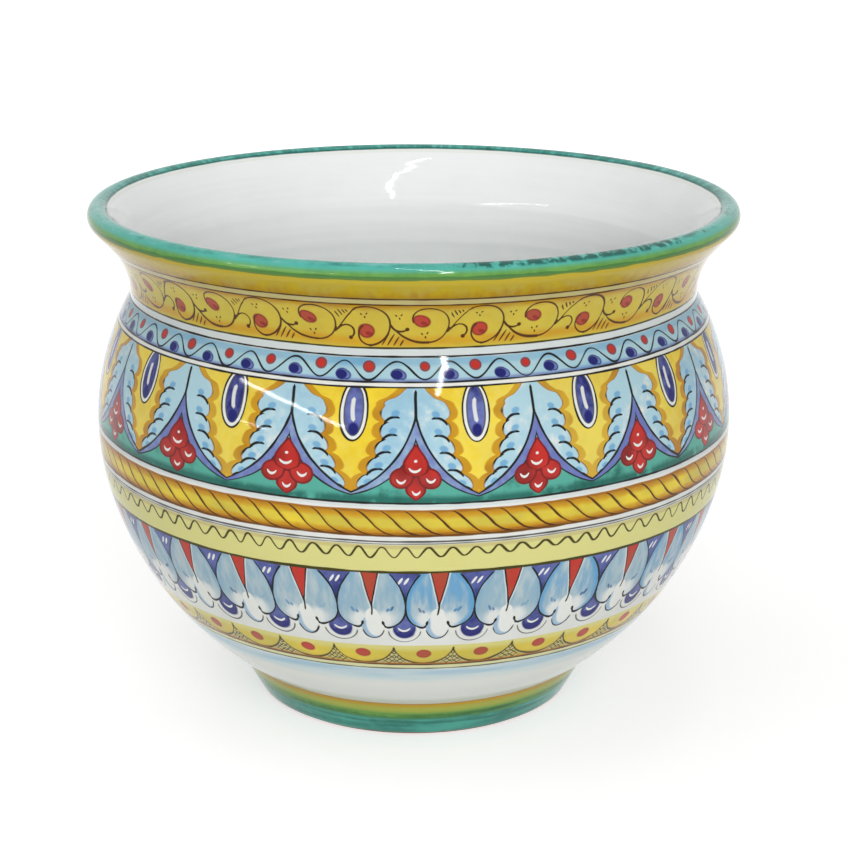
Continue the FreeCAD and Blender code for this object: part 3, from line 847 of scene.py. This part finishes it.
def meeting_arc(point, tangent_point, centre):
    """Centre of the arc through a point that meets another arc, about centre, smoothly at tangent_point."""
    point, tangent_point, centre = (np.array(p) for p in (point, tangent_point, centre))
    inward = (centre - tangent_point) / np.linalg.norm(centre - tangent_point)
    step = point - tangent_point
    return tangent_point + inward * (step @ step) / (2 * (inward @ step))


def pot_profile():
    """The pot's outer and inner outlines as (radius, height) points, seam to seam."""
    s = SIZES
    belly = (s.belly_radius - s.belly_round, s.belly_height)
    reach = math.sqrt(s.belly_round ** 2 - s.blend_drop ** 2)
    blend = (belly[0] + reach, s.belly_height - s.blend_drop)
    foot = (s.foot_radius, s.foot_top)
    haunch = meeting_arc(foot, blend, belly)
    widest = (s.belly_radius, s.belly_height)
    neck = (s.belly_radius - s.neck_inset, s.neck_top)
    rise = s.neck_top - s.belly_height
    shoulder_round = (s.neck_inset ** 2 + rise ** 2) / (2 * s.neck_inset)
    shoulder = (s.belly_radius - shoulder_round, s.belly_height)
    collar = (s.collar_radius, s.collar_top)
    lift, spread = s.collar_top - s.neck_top, s.collar_radius - neck[0]
    flare_round = (lift ** 2 + spread ** 2) / (2 * spread)
    flare = (neck[0] + flare_round, s.neck_top)
    angle = math.asin(lift / flare_round)
    roll = s.lip_thickness / 2
    roll_centre = (s.lip_radius - roll, s.height - roll)
    roll_start = (roll_centre[0] + roll * math.cos(angle), roll_centre[1] - roll * math.sin(angle))
    roll_side, crest = (s.lip_radius, roll_centre[1]), (roll_centre[0], s.height)

    share = s.wall / s.belly_round
    blend_inside = (blend[0] - share * reach, blend[1] + share * s.blend_drop)
    floor = (s.floor_radius, s.floor_level)
    hollow = meeting_arc(floor, blend_inside, belly)
    widest_inside = (s.belly_radius - s.wall, s.belly_height)
    neck_inside = (shoulder[0] + math.sqrt((shoulder_round - s.wall) ** 2 - rise ** 2), s.neck_top)
    mouth_reach, mouth_rise = roll_centre[0] - neck_inside[0], roll_centre[1] - s.neck_top
    mouth_round = (mouth_reach ** 2 + mouth_rise ** 2 - roll ** 2) / (2 * (mouth_reach - roll))
    mouth = (neck_inside[0] + mouth_round, s.neck_top)
    towards = np.array(roll_centre) - np.array(mouth)
    roll_end = np.array(mouth) + towards * mouth_round / np.linalg.norm(towards)
    seam_inside = (mouth[0] - math.sqrt(mouth_round ** 2 - lift ** 2), s.collar_top)
    collar_inside, bowl_inside = rounded(
        arc_points(mouth, seam_inside, neck_inside),
        np.vstack([arc_points(shoulder, neck_inside, widest_inside),
                   arc_points(belly, widest_inside, blend_inside), arc_points(hollow, blend_inside, floor)]),
        s.neck_round)

    return {
        "foot": np.array([(s.foot_radius - s.foot_taper, 0.0), foot]),
        "bowl": np.vstack([arc_points(haunch, foot, blend), arc_points(belly, blend, widest),
                           arc_points(shoulder, widest, neck)]),
        "collar": arc_points(flare, neck, collar),
        "lip": np.vstack([[collar], arc_points(roll_centre, roll_start, roll_side),
                          arc_points(roll_centre, roll_side, crest), arc_points(roll_centre, crest, roll_end),
                          arc_points(mouth, roll_end, seam_inside)]),
        "collar_inside": collar_inside,
        "bowl_inside": bowl_inside,
    }


def rounded(path, onward, reach):
    """Rounds the ridge where one path runs on into the next. Returns both, which meet in its middle."""
    near, far = cut_at(path[::-1], reach)[::-1], cut_at(onward, reach)
    turns = np.linspace(0.0, 1.0, RIDGE_STEPS)[:, None]
    ridge = (1 - turns) ** 2 * near[-1] + 2 * turns * (1 - turns) * onward[0] + turns ** 2 * far[0]
    middle = len(ridge) // 2
    return np.vstack([near[:-1], ridge[:middle + 1]]), np.vstack([ridge[middle:], far[1:]])


def way_along(path):
    """How far along a path each of its points lies."""
    return np.concatenate([[0.0], np.cumsum(np.linalg.norm(np.diff(path, axis=0), axis=1))])


def points_at(path, places):
    """Points that lie so far along a path."""
    steps = way_along(path)
    return np.stack([np.interp(places, steps, path[:, axis]) for axis in (0, 1)], -1)


def cut_at(path, reach):
    """The rest of a path, from a way along it."""
    return np.vstack([[points_at(path, reach)], path[way_along(path) > reach]])


def run_length(profile, *names):
    """The length of the named parts of a profile together."""
    return float(sum(way_along(profile[name])[-1] for name in names))


class Outline:
    """A section's outline, point by point, with each point's place along the paint.

    Each stretch from one point to the next has a glaze, and belongs to an island of the bake map: first
    and last point, share of the map's height, and number of strips.
    """

    def __init__(self, along, start):
        self.points = [tuple(start)]
        self.along = [along]
        self.glazes = []
        self.islands = []

    def run(self, path, bands, spacing, share, strips=1):
        """Follows a path with rows of about one spacing. bands: (glaze, along where it ends) in order."""
        path = np.asarray(path, float)
        total = way_along(path)[-1]
        first, begin, low = self.along[-1], len(self.points) - 1, 0.0
        for glaze, stop in bands:
            high = total if stop is None else min(total, stop - first)
            places = np.linspace(low, high, max(1, round((high - low) / spacing)) + 1)[1:]
            self.points += [tuple(point) for point in points_at(path, places).tolist()]
            self.along += [first + place for place in places]
            self.glazes += [glaze] * len(places)
            low = high
        end = len(self.points) - 1
        self.islands += [(begin, end, share, strips)] * (end - begin)

    def lines(self, *lines):
        """Straight runs, each as (end, glaze, spacing, share)."""
        for end, glaze, spacing, share in lines:
            self.run([self.points[-1], end], [(glaze, None)], spacing, share)


def deselect():
    if bpy.context.object is not None and bpy.context.object.mode == "EDIT":
        bpy.ops.object.mode_set(mode="OBJECT")
    bpy.ops.object.select_all(action="DESELECT")


def throw(node, outline, closed=True):
    """Turns an outline about the axis on the wheel: extruded point by point, then spun all the way round."""
    deselect()
    bpy.ops.mesh.primitive_plane_add(size=MM, location=(0.0, *outline.points[0]))
    piece = bpy.context.object
    piece.name = piece.data.name = "thrown_" + node
    bpy.ops.object.transform_apply(location=True, rotation=False, scale=False)
    bpy.ops.object.mode_set(mode="EDIT")
    bpy.ops.mesh.select_all(action="SELECT")
    bpy.ops.mesh.merge(type="CENTER")
    for here, there in zip(outline.points, outline.points[1:]):
        step = (0.0, there[0] - here[0], there[1] - here[1])
        bpy.ops.mesh.extrude_region_move(TRANSFORM_OT_translate={"value": step})
    bpy.ops.mesh.select_all(action="SELECT")
    bpy.ops.mesh.spin(steps=COLUMNS, angle=2 * math.pi, center=(0.0, 0.0, 0.0), axis=(0.0, 0.0, 1.0))
    bpy.ops.mesh.select_all(action="SELECT")
    bpy.ops.mesh.remove_doubles(threshold=TOUCHING)
    bpy.ops.mesh.normals_make_consistent(inside=False)
    bpy.ops.object.mode_set(mode="OBJECT")
    bpy.ops.object.shade_smooth_by_angle(angle=CREASE)
    unwrap(piece.data, outline, closed)
    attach(piece, "root")
    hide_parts(node)


def turn_of(x, y):
    """How far round the pot a point lies, in turns, with the front at one half."""
    return 0.5 + math.atan2(x, -y) / (2 * math.pi)


def within(start, size, share):
    """A place in a strip of the bake map, clear of its margins."""
    return start + BAKE_MARGIN + (size - 2 * BAKE_MARGIN) * share


def unwrap(mesh, outline, closed):
    """Gives each face its glaze, its place in the paint, and its place in stacked strips of a flat map."""
    places = np.array([vertex.co for vertex in mesh.vertices])
    rows = np.stack([np.hypot(places[:, 0], places[:, 1]), places[:, 2]], 1)
    points = np.array(outline.points[:-1] if closed else outline.points)
    nearest = [int(np.argmin(((points - row) ** 2).sum(1))) for row in rows]
    glazes = list(dict.fromkeys(outline.glazes))
    for glaze in glazes:
        mesh.materials.append(glaze)
    bases, base = {}, 0.0
    for first, end, share, strips in dict.fromkeys(outline.islands):
        bases[first] = base
        base += share
    paint = mesh.uv_layers.new(name=PAINT_MAP)
    bake = mesh.uv_layers.new(name=BAKE_MAP)
    last = len(points) - 1
    for face in mesh.polygons:
        corners = [nearest[vertex] for vertex in face.vertices]
        wraps = closed and min(corners) == 0 and max(corners) == last
        stretch = last if wraps else min(corners)
        face.material_index = glazes.index(outline.glazes[stretch])
        first, end, share, strips = outline.islands[stretch]
        turn = turn_of(face.center.x, face.center.y)
        strip = min(strips - 1, int(turn * strips))
        low, high = outline.along[first], outline.along[end]
        for loop, corner, vertex in zip(face.loop_indices, corners, face.vertices):
            here, (x, y) = turn, places[vertex][:2]
            if math.hypot(x, y) > MM:
                here = turn_of(x, y)
                here += round(turn - here)
            along = outline.along[last + 1 if wraps and corner == 0 else corner]
            paint.data[loop].uv = (here, along)
            across = min(1.0, max(0.0, here * strips - strip))
            rise, height = (along - low) / (high - low), share / strips
            bake.data[loop].uv = (within(0.0, 1.0, across),
                                  within(bases[first] + strip * height, height, rise))
    mesh.uv_layers.active = paint


class CACHEPOT_OT_foot_ring(bpy.types.Operator):
    """Throw the foot ring, glazed down to its bare standing edge"""
    bl_idname = "cachepot.foot_ring"
    bl_label = "Foot Ring"

    def execute(self, context):
        s, profile = SIZES, pot_profile()
        glaze, clay, white = foot_glaze(), bare_clay(), inner_glaze()
        standing, top = profile["foot"]
        corner = standing + (top - standing) / run_length(profile, "foot") * s.foot_bevel
        seat, inner = s.foot_radius - s.seat_width, standing[0] - s.foot_width
        outline = Outline(s.foot_bevel, corner)
        outline.run([corner, top], [(glaze, None)], ROW, 0.4)
        outline.lines(((seat, s.foot_top), white, ROW, 0.05),
                      ((seat, s.underside), white, ROW, 0.05),
                      ((inner, s.underside), white, ROW, 0.05),
                      ((inner, s.foot_bevel), white, ROW, 0.2),
                      ((inner + s.foot_bevel, 0.0), clay, FINE, 0.06),
                      ((standing[0] - s.foot_bevel, 0.0), clay, ROW, 0.1),
                      (corner, clay, FINE, 0.09))
        throw("foot_ring", outline)
        return {"FINISHED"}


class CACHEPOT_OT_bowl(bpy.types.Operator):
    """Throw the bowl and paint its borders"""
    bl_idname = "cachepot.bowl"
    bl_label = "Bowl"

    def execute(self, context):
        s, profile = SIZES, pot_profile()
        white = inner_glaze()
        seat = s.foot_radius - s.seat_width
        under = seat + (s.foot_top - s.underside) + s.seat_width
        outline = Outline(run_length(profile, "foot") - under, (0.0, s.underside))
        outline.lines(((seat, s.underside), white, 3 * ROW, 0.05),
                      ((seat, s.foot_top), white, 2 * ROW, 0.02),
                      ((s.foot_radius, s.foot_top), white, 2 * ROW, 0.02))
        bands = [(arch_band(), ARCH_END), (leaf_frieze(), LEAF_END), (rope_band(), ROPE_END),
                 (large_frieze(), FRIEZE_END), (wave_band(), None)]
        outline.run(profile["bowl"], bands, ROW, 0.64, strips=2)
        inside = profile["bowl_inside"]
        outline.lines((inside[0], white, ROW, 0.02))
        outline.run(self.thrown_rings(inside), [(white, None)], ROW, 0.2, strips=2)
        outline.lines(((0.0, s.floor_level), white, 2 * ROW, 0.05))
        throw("bowl", outline, closed=False)
        return {"FINISHED"}

    @staticmethod
    def thrown_rings(path):
        """The inside with the potter's throwing rings, which die out at its two ends."""
        steps = way_along(path)
        fade = np.clip(np.minimum(steps, steps[-1] - steps) / SIZES.ring_pitch, 0.0, 1.0)
        ripple = SIZES.ring_depth * fade * np.sin(2 * math.pi * steps / SIZES.ring_pitch)
        return path + np.stack([ripple, 0 * ripple], 1)


class CACHEPOT_OT_neck_collar(bpy.types.Operator):
    """Throw the neck collar and paint its vine"""
    bl_idname = "cachepot.neck_collar"
    bl_label = "Neck Collar"

    def execute(self, context):
        profile, white = pot_profile(), inner_glaze()
        collar, inside = profile["collar"], profile["collar_inside"]
        outline = Outline(run_length(profile, "foot", "bowl"), collar[0])
        outline.run(collar, [(vine_band(), None)], FINE, 0.7, strips=3)
        outline.lines((inside[0], white, ROW, 0.03))
        outline.run(inside, [(white, None)], FINE, 0.24)
        outline.lines((collar[0], white, ROW, 0.03))
        throw("neck_collar", outline)
        return {"FINISHED"}


class CACHEPOT_OT_flared_lip(bpy.types.Operator):
    """Throw the flared lip with its roll"""
    bl_idname = "cachepot.flared_lip"
    bl_label = "Flared Lip"

    def execute(self, context):
        profile, white = pot_profile(), inner_glaze()
        lip = profile["lip"]
        outline = Outline(run_length(profile, "foot", "bowl", "collar"), lip[0])
        outline.run(lip, [(lip_glaze(), LIP_END), (white, None)], FINE, 0.96, strips=3)
        outline.lines((lip[0], white, ROW, 0.04))
        throw("flared_lip", outline)
        return {"FINISHED"}


class CACHEPOT_OT_stage(bpy.types.Operator):
    """Set the pale floor, the soft studio light and the camera"""
    bl_idname = "cachepot.stage"
    bl_label = "Stage"

    def execute(self, context):
        self.floor()
        self.world()
        for name, lamp in LAMPS.items():
            self.lamp(name, *lamp)
        self.camera()
        context.scene.view_settings.view_transform = "Standard"
        return {"FINISHED"}

    @staticmethod
    def seen_or_lit(tree, lit, seen, output):
        """Shows one shader to the camera and in the gloss, and lights the pot with the other."""
        path = add_node(tree, "LightPath").outputs
        looks = Number(tree, path["Is Camera Ray"]).most(path["Is Glossy Ray"])
        mix = add_node(tree, "MixShader", {0: looks, 1: lit.outputs[0], 2: seen.outputs[0]})
        feed(tree.nodes[output].inputs["Surface"], mix.outputs[0])

    def floor(self):
        deselect()
        bpy.ops.mesh.primitive_plane_add(size=FLOOR_SIZE, location=(0.0, 0.0, 0.0))
        floor = bpy.context.object
        floor.name = "stage_floor"
        material = bpy.data.materials.new("pale_floor")
        material.use_nodes = True
        tree = material.node_tree
        tree.nodes.remove(tree.nodes["Principled BSDF"])
        place = add_node(tree, "TexCoord").outputs["Object"]
        distance = Number(tree, add_node(tree, "VectorMath", {0: place}, operation="LENGTH").outputs["Value"])
        glow = add_node(tree, "Emission", {"Strength": distance.ramp(*GLOW)})
        grey = add_node(tree, "BsdfDiffuse", {"Color": FLOOR_SEEN})
        seen = add_node(tree, "AddShader", {0: grey.outputs[0], 1: glow.outputs[0]})
        self.seen_or_lit(tree, add_node(tree, "BsdfDiffuse", {"Color": FLOOR_LIT}), seen, "Material Output")
        floor.data.materials.append(material)
        floor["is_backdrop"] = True

    def world(self):
        world = bpy.data.worlds.new("studio")
        bpy.context.scene.world = world
        world.use_nodes = True
        tree = world.node_tree
        tree.nodes.remove(tree.nodes["Background"])
        lit, seen = [add_node(tree, "Background", {"Color": WHITE, "Strength": strength})
                     for strength in (WORLD_LIT, WORLD_SEEN)]
        self.seen_or_lit(tree, lit, seen, "World Output")

    @staticmethod
    def lamp(name, start, end, width, power, glossy):
        """A flat lamp from start to end, turned to the pot. It lights the pot, or only shows in its gloss."""
        deselect()
        start, end = Vector(start), Vector(end)
        middle = (start + end) / 2
        bpy.ops.object.light_add(type="AREA", location=middle)
        lamp = bpy.context.object
        lamp.name = name
        lamp.data.shape = "RECTANGLE"
        lamp.data.size, lamp.data.size_y = (end - start).length, width
        lamp.data.energy = power
        lamp.visible_glossy = glossy
        lamp.visible_diffuse = not glossy
        length = (end - start).normalized()
        back = middle - LAMP_AIM
        back = (back - back.dot(length) * length).normalized()
        lamp.rotation_euler = Matrix((length, back.cross(length), back)).transposed().to_euler()

    @staticmethod
    def camera():
        deselect()
        place = (0.0, -CAMERA_DISTANCE * math.cos(CAMERA_PITCH),
                 CAMERA_AIM + CAMERA_DISTANCE * math.sin(CAMERA_PITCH))
        bpy.ops.object.camera_add(location=place, rotation=(math.pi / 2 - CAMERA_PITCH, 0.0, 0.0))
        camera = bpy.context.object
        for name, value in CAMERA.items():
            setattr(camera.data, name, value)
        bpy.context.scene.camera = camera


class CACHEPOT_PT_panel(bpy.types.Panel):
    """The pot's sections, in the order in which they are thrown"""
    bl_label = "Cachepot"
    bl_idname = "CACHEPOT_PT_panel"
    bl_space_type = "VIEW_3D"
    bl_region_type = "UI"
    bl_category = "Cachepot"

    def draw(self, context):
        for operator in OPERATORS:
            self.layout.operator(operator.bl_idname)
        for group in (context.scene.cachepot_sizes, context.scene.cachepot_colours):
            for name in type(group).__annotations__:
                self.layout.prop(group, name)


OPERATORS = (CACHEPOT_OT_foot_ring, CACHEPOT_OT_bowl, CACHEPOT_OT_neck_collar, CACHEPOT_OT_flared_lip,
             CACHEPOT_OT_stage)
CLASSES = (CachepotSizes, CachepotColours) + OPERATORS + (CACHEPOT_PT_panel,)


def register():
    for item in CLASSES:
        bpy.utils.register_class(item)
    bpy.types.Scene.cachepot_sizes = bpy.props.PointerProperty(type=CachepotSizes)
    bpy.types.Scene.cachepot_colours = bpy.props.PointerProperty(type=CachepotColours)


def unregister():
    del bpy.types.Scene.cachepot_colours
    del bpy.types.Scene.cachepot_sizes
    for item in reversed(CLASSES):
        bpy.utils.unregister_class(item)


def main():
    global SIZES, COLOURS
    register()
    SIZES = bpy.context.scene.cachepot_sizes
    COLOURS = bpy.context.scene.cachepot_colours
    bpy.ops.cachepot.foot_ring()
    bpy.ops.cachepot.bowl()
    bpy.ops.cachepot.neck_collar()
    bpy.ops.cachepot.flared_lip()
    bpy.ops.cachepot.stage()
    boxes = {"cad": cad_box, "visual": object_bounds()}
    boxes = {name: [list(corner) for corner in box] for name, box in boxes.items()}


if __name__ == "__main__":
    main()
